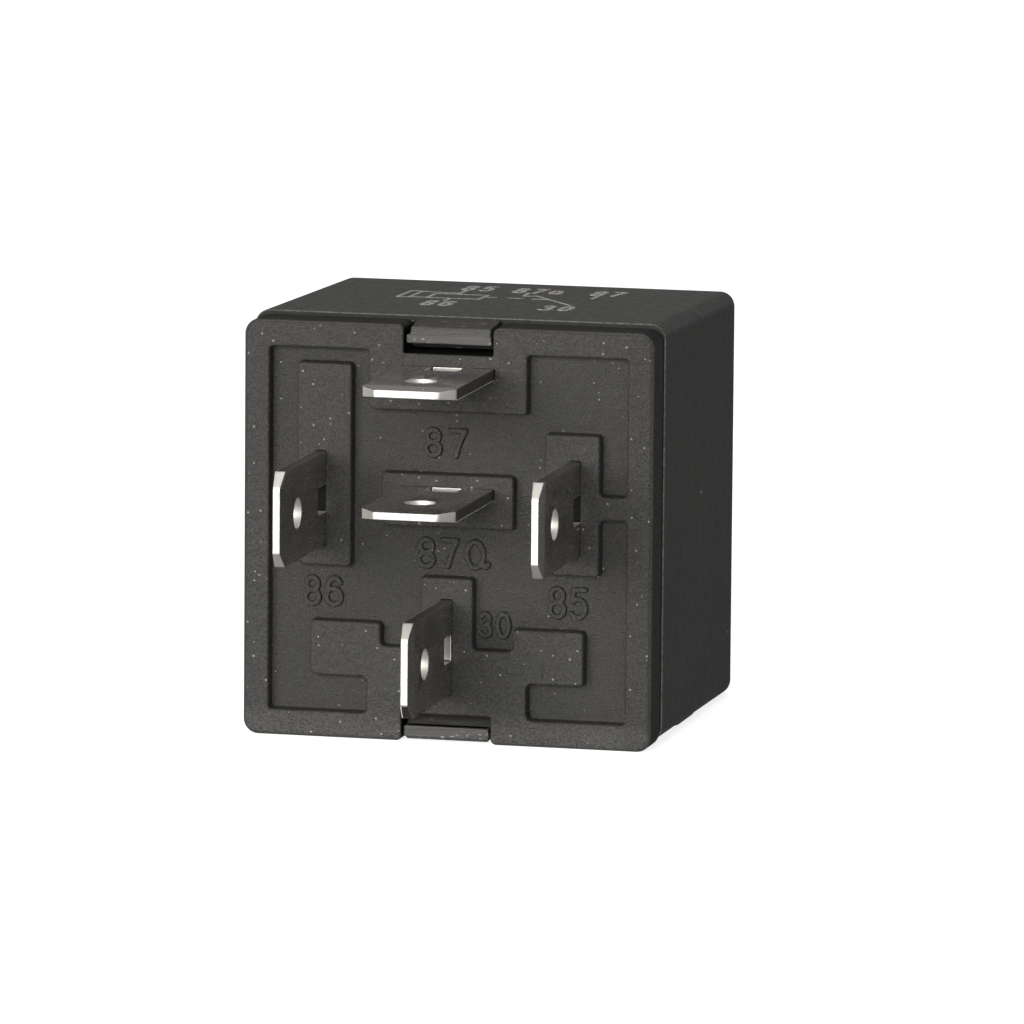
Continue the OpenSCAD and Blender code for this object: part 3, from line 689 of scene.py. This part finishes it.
def base_plate():
    sh = Shell()

    def lay(P, y):
        return [(p[0], y, p[1]) for p in P]

    P, N = notched(HALF, 1.0, NZ)
    # how far each point is inside a notch, from 0 outside to 1
    inn = np.clip((np.abs(NW + 0.45 - np.abs(P[:, 0])) < 0.5) * (np.abs(P[:, 1]) > NZ - 0.2) * 1.0, 0, 1)
    deep = (np.abs(P[:, 0]) <= NW + 0.42) & (np.abs(P[:, 1]) > 11.5)
    t = np.clip((NW + 0.42 - np.abs(P[:, 0])) / 0.42, 0, 1)
    scale = np.where(deep, 1 - 0.62 * t, 1.0)
    R = 0.36
    rings = []
    for k in range(7):
        a = math.radians(15 * k)
        off = (-R + R * math.sin(a)) * scale
        y = (R - R * math.cos(a)) * scale
        q = P + N * off[:, None]
        rings.append(sh.ring([(q[i][0], y[i], q[i][1]) for i in range(len(q))]))
    top_ring = rings[0]
    rings.append(sh.ring(lay(P, 2.1)))
    P2, N2 = notched(HALF, 1.0, NLEDGE)
    rings.append(sh.ring(lay(P2, 2.1)))
    rings.append(sh.ring(lay(P2, THICK - 0.12)))
    s2 = np.where((np.abs(P2[:, 0]) <= NW + 0.1) & (np.abs(P2[:, 1]) > 11.5), 0.0, 1.0)
    rings.append(sh.ring(lay(P2 - N2 * 0.06 * s2[:, None], THICK - 0.03)))
    rings.append(sh.ring(lay(P2 - N2 * 0.13 * s2[:, None], THICK)))
    P3, _ = notched(13.45, 1.0, NLEDGE)
    rings.append(sh.ring(lay(P3, THICK)))
    rings.append(sh.ring(lay(P3, 3.05)))
    P4, _ = notched(12.65, 0.6, NLEDGE)
    P4 = raised(P4, 11.9, NLEDGE)
    rings.append(sh.ring(lay(P4, 3.05)))
    rings.append(sh.ring(lay(P4, 5.25)))
    P4b, _ = notched(12.53, 0.55, NLEDGE - 0.1)
    P4b = raised(P4b, 11.8, NLEDGE - 0.1)
    rings.append(sh.ring(lay(P4b, 5.4)))
    P5, _ = notched(11.45, 0.4, 11.43)
    rings.append(sh.ring(lay(P5, 5.4)))
    rings.append(sh.ring(lay(P5, THICK)))
    for i, (a, b) in enumerate(zip(rings[:-1], rings[1:])):
        for j in range(len(a)):
            k = (j + 1) % len(a)
            pts = [sh.v[q] for q in (a[j], a[k], b[k], b[j])]
            # the notch's inner walls get the near-black plastic as painted shade
            notch = all(abs(q[0]) < NW + 0.06 and abs(q[2]) > 11.3 for q in pts)
            # band 3 of the outer edge rounding gets the paler plastic as a painted highlight
            sh.mat = 1 if i >= 6 and notch else 2 if i >= 6 else 3 if i == 3 else 0
            sh.quad([a[j], a[k], b[k], b[j]])
    sh.mat = 0
    back_ring = rings[-1]

    # walls between the two levels of the front
    rt, rf, draft = 0.17, 0.10, 0.04
    prof = [(-rt + rt * math.sin(math.radians(a)), rt - rt * math.cos(math.radians(a))) for a in (0, 18, 36, 54, 72, 90)]
    prof += [(draft, FLOOR - rf)]
    prof += [(draft + rf - rf * math.cos(math.radians(a)), FLOOR - rf + rf * math.sin(math.radians(a))) for a in (30, 60, 90)]

    def wall(P, N, sign):
        rr = [sh.ring([(x, y, z) for x, z in (P + N * sign * d)]) for d, y in prof]
        for a, b in zip(rr[:-1], rr[1:]):
            sh.band(a, b)
        return rr[0], rr[-1]

    r, rc = PAD_R, 0.24
    k, e = 0.38, 0.45
    W = RIM
    recess = [(-W, -W, rc), (-5.44, -W, 0.35), (-5.44, -9.7, k), (-9.3, -9.7, e), (-9.3, -6.05, r), (-4.5, -6.05, r), (-4.5, -7.6, k),
              (-1.78, -7.6, k), (-1.78, -2.85, r), (1.78, -2.85, r), (1.78, -7.6, k), (4.5, -7.6, k), (4.5, -6.1, r), (9.3, -6.1, r),
              (9.3, -9.7, r), (5.44, -9.7, k), (5.44, -W, e), (W, -W, rc), (W, 1.42, 0.3), (10.3, 1.42, k), (10.3, -2.35, r),
              (6.6, -2.35, e), (6.6, 7.0, r), (10.3, 7.0, r), (10.3, 2.98, k), (W, 2.98, 0.3), (W, W, rc), (5.35, W, 0.28), (5.35, 8.2, r),
              (-5.4, 8.2, e), (-5.4, W, rc), (-W, W, rc)]
    P, N = outline(recess, 6)
    rec_top, rec_floor = wall(P, N, -1.0)
    islands = []
    for c in ([(-10.25, -2.35, e), (-6.55, -2.35, r), (-6.55, 11.15, r), (-10.25, 11.15, r)],
              [(-4.48, 0.5, e), (4.48, 0.5, r), (4.48, 4.03, r), (-4.48, 4.03, r)]):
        P, N = outline(c, 6)
        islands.append(wall(P, N, 1.0))

    # blade slots, with a small chamfer
    slots = {}
    for name, x, z, w, h in (("87", 0, NO_Z, 6.40, 0.812), ("87a", 0, NC_Z, 6.40, 0.812), ("86", -BLADE_X, BLADE_Z, 0.812, 6.40),
                             ("85", BLADE_X, BLADE_Z, 0.812, 6.40), ("30", 0, COM_Z, 0.812, 6.40)):
        P, N = outline(rect_corners(x - w / 2, z - h / 2, x + w / 2, z + h / 2, 0.09), 3)
        a = sh.ring([(p[0], 0.0, p[1]) for p in P + N * 0.004])
        b = sh.ring([(p[0], 0.03, p[1]) for p in P])
        c = sh.ring([(p[0], THICK, p[1]) for p in P])
        sh.band(a, b)
        sh.band(b, c)
        slots[name] = (a, c)

    sh.fill([top_ring, rec_top, slots["87"][0], slots["85"][0], slots["30"][0]])
    sh.fill([islands[0][0], slots["86"][0]])
    sh.fill([islands[1][0], slots["87a"][0]])
    sh.fill([rec_floor, islands[0][1], islands[1][1]])
    sh.fill([back_ring] + [s[1] for s in slots.values()])

    # nubs on the flange's sides
    for s in (-1, 1):
        ring0 = None
        cx, cy = s * (HALF - 0.48), 1.5
        prof2 = [(0.0, -0.40), (0.5, -0.40), (0.597, -0.32), (0.597, 0.32), (0.5, 0.40), (0.0, 0.40)]
        for rr, zz in prof2:
            if rr == 0.0:
                ring = None
                tip = sh.ring([(cx, cy, 10.3 + zz)])[0]
                if ring0 is not None:
                    for i in range(len(ring0)):
                        sh.face((ring0[i], ring0[(i + 1) % len(ring0)], tip))
                last_tip = tip
                continue
            ring = sh.ring([(cx + rr * math.cos(a), cy + rr * math.sin(a), 10.3 + zz) for a in np.linspace(0, 2 * math.pi, 33)[:-1]])
            if ring0 is None:
                for i in range(len(ring)):
                    sh.face((ring[i], ring[(i + 1) % len(ring)], last_tip))
            else:
                sh.band(ring0, ring)
            ring0 = ring

    # raised figures on the recess floor
    figs = [("8", -1.81, 5.01, -0.52, 7.05), ("7", -0.18, 5.01, 1.19, 7.05),
            ("8", -2.25, -2.40, -0.92, -0.27), ("7", -0.64, -2.35, 0.67, -0.27), ("a", 1.03, -2.45, 2.84, -0.30),
            ("8", -9.97, -5.25, -8.72, -3.13), ("6", -8.55, -5.25, -7.20, -3.13),
            ("8", 6.70, -5.40, 7.98, -3.18), ("5", 8.15, -5.40, 9.45, -3.20),
            ("3", 2.05, -6.90, 3.0, -5.07), ("0", 3.14, -6.90, 4.24, -5.07)]
    wd = 0.34
    h = 0.19
    fprof = [(0.03, -0.04), (0.03, 0.0), (0.0, 0.04), (-0.01, 0.13), (-0.035, 0.17), (-0.09, h)]
    for ch, x0, z0, x1, z1 in figs:
        strokes(sh, figure(ch, x0 + wd / 2, z0 + wd / 2, x1 - wd / 2, z1 - wd / 2), wd, fprof,
                lambda u, v, hh: (u, FLOOR - hh, v), step=0.04)
    o = sh.object("base_plate", [M_base, M_painted_shade, M_flange, M_base_edge_highlight], smooth=40)
    weighted(o)
    return o


base_piece = base_plate()
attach(base_piece, "frame")
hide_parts("base")

# ---------------------------------------------------------------------------
# Cover

LIP = 3.05
BACK = 25.54
CORNER = 1.0
WALL = 1.1
RISE = 0.26


def along(y):
    """Half width, half height and centre height of the cover at depth y: it tapers and dips a little."""
    t = min(1.0, (y - LIP) / (BACK - CORNER - LIP))
    return 13.97 - 0.14 * t, 13.91 - 0.08 * t, RISE - 0.33 * t


def square_ring(w, h, r, seg=8, split=6):
    """Rounded rectangle outline with evenly split sides."""
    P, _ = outline(rect_corners(-w, -h, w, h, max(r, 1e-4)), seg)
    k = len(P) // 4
    pts = []
    for s in range(4):
        pts.extend(P[s * k : (s + 1) * k])
        a, b = P[(s + 1) * k - 1], P[((s + 1) * k) % len(P)]
        for i in range(1, split):
            pts.append(a + (b - a) * i / split)
    return np.array(pts)


def cover():
    sh = Shell()

    def ring(y, inset, r, ref=None):
        w, h, c = along(y if ref is None else ref)
        return sh.ring([(p[0], y, p[1] + c) for p in square_ring(w - inset, h - inset, r)])

    rr = []
    rl = 0.15
    for a in (0, 30, 60, 90):
        s, c = math.sin(math.radians(a)), math.cos(math.radians(a))
        rr.append(ring(LIP + rl - rl * c, rl - rl * s, 1.0 - rl + rl * s, LIP))
    for y in (7.0, 11.0, 15.0, 19.0, 22.5):
        rr.append(ring(y, 0.0, 1.0))
    R = CORNER
    for a in (0, 10, 20, 30, 40, 50, 60, 70, 80, 88):
        s, c = math.sin(math.radians(a)), math.cos(math.radians(a))
        rr.append(ring(BACK - R + R * s, R - R * c, max(R * c, 0.03)))
    for i, (a, b) in enumerate(zip(rr[:-1], rr[1:])):
        # the lip's first rounding band gets the near-black plastic as painted shade, and the next two get the paler
        # plastic as a painted highlight
        sh.mat = 2 if i < 1 else 3 if i <= 2 else 0
        sh.band(a, b)
    sh.fill([rr[-1]], extra=[(x, z) for x in np.linspace(-11, 11, 9) for z in np.linspace(-11, 11, 9)], at=sh.v[rr[-1][0]][1])
    inner = []
    inner.append(ring(LIP, WALL - 0.13, 0.55))
    inner.append(ring(LIP + 0.12, WALL - 0.01, 0.5))
    for y in (8.0, 14.0, 20.0):
        inner.append(ring(y, WALL - 0.005, 0.5))
    for a in (0, 30, 60, 88):
        s, c = math.sin(math.radians(a)), math.cos(math.radians(a))
        inner.append(ring(BACK - WALL - 0.5 + 0.5 * s, WALL + 0.5 - 0.5 * c, max(0.5 * c, 0.02)))
    # the lip's front face gets the near-black plastic as painted shade
    sh.mat = 2
    sh.band(rr[0], inner[0])
    sh.mat = 0
    for a, b in zip(inner[:-1], inner[1:]):
        sh.band(a, b)
    sh.fill([inner[-1]])

    # latch tongues through the base plate's notches, each with a wider barb
    sh.mat = 1
    for s in (1, -1):
        out = 13.91 + s * RISE
        inn = out - WALL
        z0 = 12.67 if s > 0 else 12.82
        body = [(0.16, z0, 0.08), (0.14, 13.27, 0.08), (0.36, 13.76, 0.12), (LIP + 0.6, out - 0.05, 0.02), (LIP + 0.6, inn + 0.12, 0.02),
                (2.4, inn + 0.06, 0.05), (2.06, 12.9, 0.05), (1.0, z0, 0.1)]
        barb = [(0.1, z0, 0.10), (0.1, 13.27 if s > 0 else 13.58, 0.07), (1.2, 13.27 if s > 0 else 13.58, 0.1), (2.06, 12.9, 0.05),
                (2.02, 12.25, 0.06), (1.75, 12.25, 0.1), (0.9, z0, 0.15)]
        left = -2.64 if s > 0 else -2.80
        for c, xs in ((body, ((left, 0.14), (left + 0.04, 0.05), (left + 0.14, 0.0), (-1.2, 0.0), (0.0, 0.0), (1.2, 0.0), (2.72, 0.0), (2.79, 0.03), (2.82, 0.10))),
                      (barb, ((-2.88, 0.12), (-2.85, 0.05), (-2.76, 0.0), (-1.2, 0.0), (0.0, 0.0), (1.2, 0.0), (2.80, 0.0), (2.87, 0.03), (2.9, 0.10)))):
            P, N = outline(c[::-1], 5)
            stations = []
            for x, d in xs:
                q = P - N * d
                stations.append(sh.ring([(x, p[0], s * p[1]) for p in q]))
            for a, b in zip(stations[:-1], stations[1:]):
                sh.band(a, b)
            sh.fill([stations[0]], (1, 2))
            sh.fill([stations[-1]], (1, 2))
    sh.mat = 0

    # rib across the resting side
    P, N = outline(rect_corners(-HALF + 0.2, -HALF, HALF - 0.2, -HALF + 1.7, 0.8), 8)
    st = [sh.ring([(p[0], y, p[1]) for p in P - N * d]) for y, d in
          ((10.7, 0.25), (10.77, 0.10), (10.95, 0.0), (12.7, 0.0), (14.45, 0.0), (14.63, 0.10), (14.7, 0.25))]
    for a, b in zip(st[:-1], st[1:]):
        sh.band(a, b)
    sh.fill([st[0]])
    sh.fill([st[-1]])
    o = sh.object("moulded_cover_shell", [M_cover, M_tongue, M_lip_shade, M_lip_highlight], smooth=40)
    weighted(o)
    return o


cover_piece = cover()
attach(cover_piece, "frame")
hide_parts("case")

# ---------------------------------------------------------------------------
# Circuit print on the cover: plain lines and plain numbers


def top_at(y):
    _, h, c = along(y)
    return h + c


def circuit_print():
    sh = Shell()
    line, text = [], []
    line.append([(-5.0, 14.0), (-1.4, 14.0), (-1.4, 16.6), (-5.0, 16.6), (-5.0, 14.0)])
    line.append([(-7.0, 13.8), (-6.2, 13.8), (-6.2, 17.8), (-7.0, 17.8), (-7.0, 13.8)])
    line.append([(-6.1, 17.6), (-3.5, 17.3)])
    line.append([(-3.5, 16.6), (-3.5, 18.9)])
    line.append([(-6.1, 14.0), (-5.0, 14.0)])
    line.append([(-3.35, 14.0), (-3.35, 12.3)])
    line.append([(-1.4, 15.5), (-0.6, 15.5)])
    line.append([(0.3, 15.5), (1.2, 15.5)])
    line.append([(2.0, 15.4), (3.0, 15.4)])
    line.append([(5.3, 12.3), (1.7, 17.5)])
    line.append([(0.85, 19.0), (0.95, 17.1), (1.6, 17.1)])
    line.append([(5.75, 18.5), (5.75, 16.8)])

    def put_text(s, x, y, w=0.60, h=2.7, gap=0.65):
        for ch in s:
            ww = w * (1.25 if ch == "a" else 1.0)
            text.extend(figure(ch, x, y, x + ww, y + h * (0.72 if ch == "a" else 1.0)))
            x += ww + gap

    put_text("85", -3.90, 19.3)
    put_text("86", -4.30, 9.4)
    put_text("87a", -0.30, 19.0)
    put_text("87", 5.15, 18.9)
    put_text("30", 3.95, 9.0)
    prof = [(0.0, -0.02), (0.0, 0.004), (-0.02, 0.010)]

    def lift(u, v, h):
        return (u, v, top_at(v) + h)

    strokes(sh, line, 0.27, prof, lift, step=0.05, plane="xy")
    strokes(sh, text, 0.38, prof, lift, step=0.05, plane="xy")
    return sh.object("circuit_print", [M_ink], smooth=40)


print_piece = circuit_print()
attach(print_piece, "frame")

# ---------------------------------------------------------------------------
# Blades: stamped strip with rolled edges, coined tip, punched hole and window


def blade(sh, place, axes, root=-1.3):
    W, L, T, rr, drop, l0 = 3.15, 11.14, 0.4, 0.065, 0.14, 11.14 - 1.18
    corners = [(root, -W, 0), (l0 - 0.06, -W, 0), (l0 + 0.06, -W, 0), (L - 0.95, -W, 0.22), (L, -W + 1.0, 0.22), (L, W - 1.0, 0.5),
               (L - 0.95, W, 0.30), (l0 + 0.06, W, 0), (l0 - 0.06, W, 0), (root, W, 0)]
    P, N = outline(corners, 8)

    def half(l):
        return T - drop * max(0.0, (l - l0) / (L - l0)) - 0.01 * (1.0 if l < -0.9 else 0.0)

    mid = [t for t in (90, 60, 30, 0)]
    rings = []
    for side in (-1, 1):
        for f in (mid if side < 0 else mid[::-1]):
            f = math.radians(f)
            off = -rr * (1 - math.cos(f))
            rings.append(sh.ring([place(p[0] + n[0] * off, p[1] + n[1] * off, side * (half(p[0]) - rr * (1 - math.sin(f)))) for p, n in zip(P, N)]))
    tip = P[:, 0] > L - 1.02
    for i, (a, b) in enumerate(zip(rings[:-1], rings[1:])):
        for j in range(len(a)):
            k = (j + 1) % len(a)
            coined = tip[j] and tip[k]
            if name == "30" and max(P[j][1], P[k][1]) < -W + 1.02 and max(P[j][0], P[k][0]) < L - 0.04:
                coined = False
            # side bands 1 and 2, on one rounded edge, get the pale plastic as a painted highlight
            sh.mat = 0 if i in (0, 5, 6) else (1 if i > 1 else 0) if coined else 4 if i < 3 else 2
            sh.quad([a[j], a[k], b[k], b[j]])
    holes = []
    hc = 7.24
    ang = np.linspace(0, 2 * math.pi, 49)[:-1]
    circ = (np.array([(hc + math.cos(a), math.sin(a)) for a in ang]), np.array([(math.cos(a), math.sin(a)) for a in ang]))
    win = outline(rect_corners(WIN0, -WIN, 2.0, WIN, 0.16), 4)
    for Q, M in (circ, win):
        hr = []
        for side in (-1, 1):
            for f in ((90, 45, 0) if side < 0 else (0, 45, 90)):
                f = math.radians(f)
                off = 0.05 * (1 - math.cos(f))
                hr.append(sh.ring([place(q[0] + m[0] * off, q[1] + m[1] * off, side * (T - 0.05 * (1 - math.sin(f)))) for q, m in zip(Q, M)]))
        for i, (a, b) in enumerate(zip(hr[:-1], hr[1:])):
            for j in range(len(a)):
                k = (j + 1) % len(a)
                sh.mat = 1
                # painted shade: the window's root wall gets the near-black plastic on 85 and 86, and the darker
                # cut-side tin on part of it on 30, 87 and 87a
                if Q is win[0] and max(Q[j][0], Q[k][0]) < WIN0 + 0.17:
                    if name in ("85", "86"):
                        sh.mat = 3
                    elif name == "30":
                        sh.mat = 2 if i == 2 else 1
                    elif min(Q[j][1], Q[k][1]) < -0.25:
                        sh.mat = 2
                sh.quad([a[j], a[k], b[k], b[j]])
        holes.append((hr[0], hr[-1]))
    sh.mat = 0
    n = len(P)

    def find(l, a):
        return int(np.argmin((P[:, 0] - l) ** 2 + (P[:, 1] - a) ** 2))

    pairs = [(find(l0 - 0.06, -W), find(l0 - 0.06, W)), (find(l0 + 0.06, -W), find(l0 + 0.06, W))]
    for ring, k in ((rings[0], 0), (rings[-1], 1)):
        sh.fill([ring, holes[0][k], holes[1][k]], axes, ties=[(ring[a], ring[b]) for a, b in pairs])


def inner_part(sh, name, y_cut, soften=0.06):
    """The part of a terminal behind the base plate's face, taken from its CAD node and given soft edges."""
    bm = bmesh.new()
    bm.from_mesh(nodes[name].data)
    bmesh.ops.remove_doubles(bm, verts=bm.verts, dist=2e-6)
    y = (SEAT_Y + y_cut) * 0.001
    r = bmesh.ops.bisect_plane(bm, geom=bm.verts[:] + bm.edges[:] + bm.faces[:], dist=1e-7, plane_co=(0, y, 0), plane_no=(0, 1, 0), clear_inner=True)
    rim = [e for e in bm.edges if len(e.link_faces) == 1]
    bmesh.ops.edgeloop_fill(bm, edges=rim)
    bmesh.ops.recalc_face_normals(bm, faces=bm.faces)
    bmesh.ops.dissolve_limit(bm, angle_limit=math.radians(1.0), use_dissolve_boundaries=False, verts=bm.verts, edges=bm.edges)
    sharp = [e for e in bm.edges if len(e.link_faces) == 2 and e.calc_face_angle(0.0) > math.radians(35)]
    bmesh.ops.bevel(bm, geom=sharp, offset=soften * 0.001, offset_type="OFFSET", segments=2, profile=0.6, affect="EDGES", clamp_overlap=True)
    bmesh.ops.triangulate(bm, faces=[f for f in bm.faces if len(f.verts) > 4])
    k = len(sh.v)
    bm.verts.index_update()
    for v in bm.verts:
        sh.v.append((v.co.x * 1000, v.co.y * 1000 - SEAT_Y, v.co.z * 1000 - SEAT_Z))
    sh.mat = 0
    for f in bm.faces:
        sh.face([k + v.index for v in f.verts])
    bm.free()


WIN = 0.9
for name, flat, cx, cz in (("86", False, -BLADE_X, BLADE_Z), ("85", False, BLADE_X, BLADE_Z), ("30", False, 0.0, COM_Z),
                           ("87", True, 0.0, NO_Z), ("87a", True, 0.0, NC_Z)):
    sh = Shell()
    WIN = 1.05 if flat else 0.9
    WIN0 = -0.3 if name in ("85", "86") else 0.2
    if flat:
        blade(sh, lambda l, a, t, cx=cx, cz=cz: (cx + a, -l, cz + t), (0, 1))
    else:
        blade(sh, lambda l, a, t, cx=cx, cz=cz: (cx + t, -l, cz + a), (1, 2))
    inner_part(sh, "terminal_" + name, 0.7)
    o = sh.object("blade_" + name, [M_tin, M_cut, M_side, M_painted_shade, M_blade_edge_highlight], smooth=32)
    weighted(o)
    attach(o, "frame")
    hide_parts("terminal_" + name)

# ---------------------------------------------------------------------------
# Coil: turns of wire as one scalloped ring


def coil():
    sh = Shell()
    lo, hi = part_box("coil_winding")
    y0, y1 = lo.y * 1000 - SEAT_Y, hi.y * 1000 - SEAT_Y
    cz = (lo.z + hi.z) / 2 * 1000 - SEAT_Z
    ro = (hi.z - lo.z) / 2 * 1000
    ri = 3.93
    turns = 44
    pitch = (y1 - y0 - 0.04) / turns
    prof = [(ri, y0 + 0.02)]
    for i in range(turns):
        for a in (0, 40, 80, 120, 160):
            t = math.radians(a)
            prof.append((ro - pitch * 0.42 + pitch * 0.42 * math.sin(t), y0 + 0.02 + pitch * (i + 0.5 - 0.5 * math.cos(t))))
    prof.append((ro - pitch * 0.42, y1 - 0.02))
    prof.append((ri, y1 - 0.02))
    n = 96
    ang = np.linspace(0, 2 * math.pi, n + 1)[:-1]
    rings = [sh.ring([(r * math.cos(a), y, cz + r * math.sin(a)) for a in ang]) for r, y in prof]
    for a, b in zip(rings, rings[1:] + rings[:1]):
        sh.band(a, b)
    return sh.object("coil_turns", [M_enamel], smooth=60)


coil_piece = coil()
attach(coil_piece, "frame")
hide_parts("coil_winding")

# ---------------------------------------------------------------------------
# Leaf spring: one strip of sheet, bent round the hinge


def leaf():
    sh = Shell()
    t = 0.25
    zf = -11.4 - 0.02 - t / 2
    yv = 19.23 + 1.2 + 0.02 + t / 2
    path = [(y, zf, 2.6) for y in np.linspace(12.9, 19.45, 18)]
    rc = yv - 19.45
    for a in np.linspace(-90, 0, 15)[1:]:
        path.append((19.45 + rc * math.cos(math.radians(a)), zf + rc + rc * math.sin(math.radians(a)), 2.6))
    zb = zf + rc
    for z in np.linspace(zb, 6.45, 26)[1:]:
        path.append((yv, z, 2.6))
    for z in np.linspace(6.45, 8.0, 6)[1:]:
        path.append((yv, z, 2.6 - 0.9 * (z - 6.45) / 1.55))
    for z in np.linspace(8.0, 10.2, 6)[1:]:
        path.append((yv, z, 1.7))
    p = np.array(path)
    d = np.gradient(p[:, :2], axis=0)
    d /= np.linalg.norm(d, axis=1)[:, None]
    nrm = np.stack([d[:, 1], -d[:, 0]], 1)
    zz = np.clip((p[:, 1] + 12.5) / 3.0, 0, 1)
    first = zz * zz * (3 - 2 * zz) * (p[:, 0] > 18.0)
    turn = math.radians(-2.5) * first
    rings = []
    e = 0.05
    for i in range(len(p)):
        w = p[i, 2]
        sec = [(-w, -t / 2 + e), (-w + e, -t / 2), (w - e, -t / 2), (w, -t / 2 + e), (w, t / 2 - e), (w - e, t / 2), (-w + e, t / 2), (-w, t / 2 - e)]
        pts = []
        c, s = math.cos(turn[i]), math.sin(turn[i])
        for x, h in sec:
            y, z = p[i, 0] + nrm[i, 0] * h - 19.2, p[i, 1] + nrm[i, 1] * h + 11.4
            pts.append((x, y * c - z * s + 19.2, y * s + z * c - 11.4))
        rings.append(sh.ring(pts))
    for a, b in zip(rings[:-1], rings[1:]):
        sh.band(a, b)
    sh.face(rings[0])
    sh.face(rings[-1])
    return sh.object("leaf_spring", [M_bronze], smooth=35)


leaf_piece = leaf()
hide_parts("contact_spring")
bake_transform(leaf_piece)

# ---------------------------------------------------------------------------
# CAD nodes that keep their shape: softened edges and their own materials


def dress(name, mat, width, seg=2, angle=30.0):
    o = nodes[name]
    o.data.materials.clear()
    o.data.materials.append(mat)
    for p in o.data.polygons:
        p.material_index = 0
        p.use_smooth = True
    w = o.modifiers.new("weld", "WELD")
    w.merge_threshold = 2e-6
    if width > 0:
        b = o.modifiers.new("edge", "BEVEL")
        b.width = width * 0.001
        b.segments = seg
        b.limit_method = "ANGLE"
        b.angle_limit = math.radians(angle)
        b.use_clamp_overlap = True
        b.harden_normals = False
        b.miter_outer = "MITER_ARC"
    weighted(o)
    return o


dress("bobbin", M_nylon, 0.08)
dress("core", M_core, 0.10)
dress("yoke", M_iron, 0.08)
dress("armature", M_iron, 0.08)
dress("spring_rivets", M_rivet, 0.10)
dress("armature_rivets", M_rivet, 0.08)
dress("moving_contact", M_silver, 0.10)
dress("fixed_contact_no", M_silver, 0.10)
dress("fixed_contact_nc", M_silver, 0.10)
dress("coil_lead_85", M_enamel, 0.0)
dress("coil_lead_86", M_enamel, 0.0)
dress("solder_joints", M_solder, 0.15)

# ---------------------------------------------------------------------------
# Stage: floor, lights, camera


def floor():
    me = bpy.data.meshes.new("floor")
    s = 12.0
    me.from_pydata([(-s, -s, 0), (s, -s, 0), (s, s, 0), (-s, s, 0)], [], [(0, 1, 2, 3)])
    o = bpy.data.objects.new("floor", me)
    scene.collection.objects.link(o)
    n = Nodes("pale_floor")
    v = n.scaled(1, 1, 1)
    a = n.noise(v, 30.0, 2.0)
    n.set(Base_Color=n.ramp(a, [(0.3, grey(0.70)), (0.7, grey(0.72))]), Roughness=0.9)
    n.bsdf.inputs["Specular IOR Level"].default_value = 0.1
    n.bsdf.inputs["Emission Color"].default_value = (1.0, 1.0, 1.0, 1.0)
    n.bsdf.inputs["Emission Strength"].default_value = 0.80
    me.materials.append(n.mat)
    o.visible_glossy = False
    o.location = (0, 0, -0.00002)
    return o


floor()


def area(name, loc, target, size, power, colour=(1, 1, 1), shape="RECTANGLE", size_y=None):
    l = bpy.data.lights.new(name, "AREA")
    l.shape = shape
    l.size = size
    if size_y:
        l.size_y = size_y
    l.energy = power
    l.color = colour
    o = bpy.data.objects.new(name, l)
    scene.collection.objects.link(o)
    d = Vector(target) - Vector(loc)
    o.rotation_euler = d.to_track_quat("-Z", "Y").to_euler()
    o.location = loc
    return o


# lights
area("key_front", (-0.24, -1.07, 0.29), (0, 0, 0.014), 1.15, 21.5, (1.0, 0.98, 0.945), size_y=0.5)
area("top_soft", (0.0, 0.05, 1.0), (0, 0, 0.014), 0.7, 2.4, (1.0, 0.985, 0.96), size_y=0.7)
back = area("backdrop", (0.0, 1.6, 0.45), (0, 0, 0.014), 3.0, 1.3, (1.0, 0.985, 0.96), size_y=0.85)
back.visible_camera = False
# end of lights

world = bpy.data.worlds.new("studio")
scene.world = world
world.use_nodes = True
bg = world.node_tree.nodes["Background"]
bg.inputs["Color"].default_value = (1.0, 0.985, 0.965, 1.0)
bg.inputs["Strength"].default_value = 0.105

scene.view_settings.view_transform = "Standard"
scene.view_settings.look = "None"
scene.view_settings.exposure = 0.0
scene.view_settings.gamma = 1.0

cam_data = bpy.data.cameras.new("camera")
cam = bpy.data.objects.new("camera", cam_data)
scene.collection.objects.link(cam)
cam_data.sensor_width = 36.0
cam_data.sensor_fit = "HORIZONTAL"
cam_data.lens = 347.87068395661424
cam_data.clip_start = 0.01
cam_data.clip_end = 100.0
cam.matrix_world = Matrix((
    (0.971260114, -0.042484471, 0.234198336, 0.156913678),
    (0.237884780, 0.140030851, -0.961146291, -0.633048567),
    (0.008038799, 0.989235276, 0.146112789, 0.110797390),
    (0.0, 0.0, 0.0, 1.0),
))
scene.camera = cam
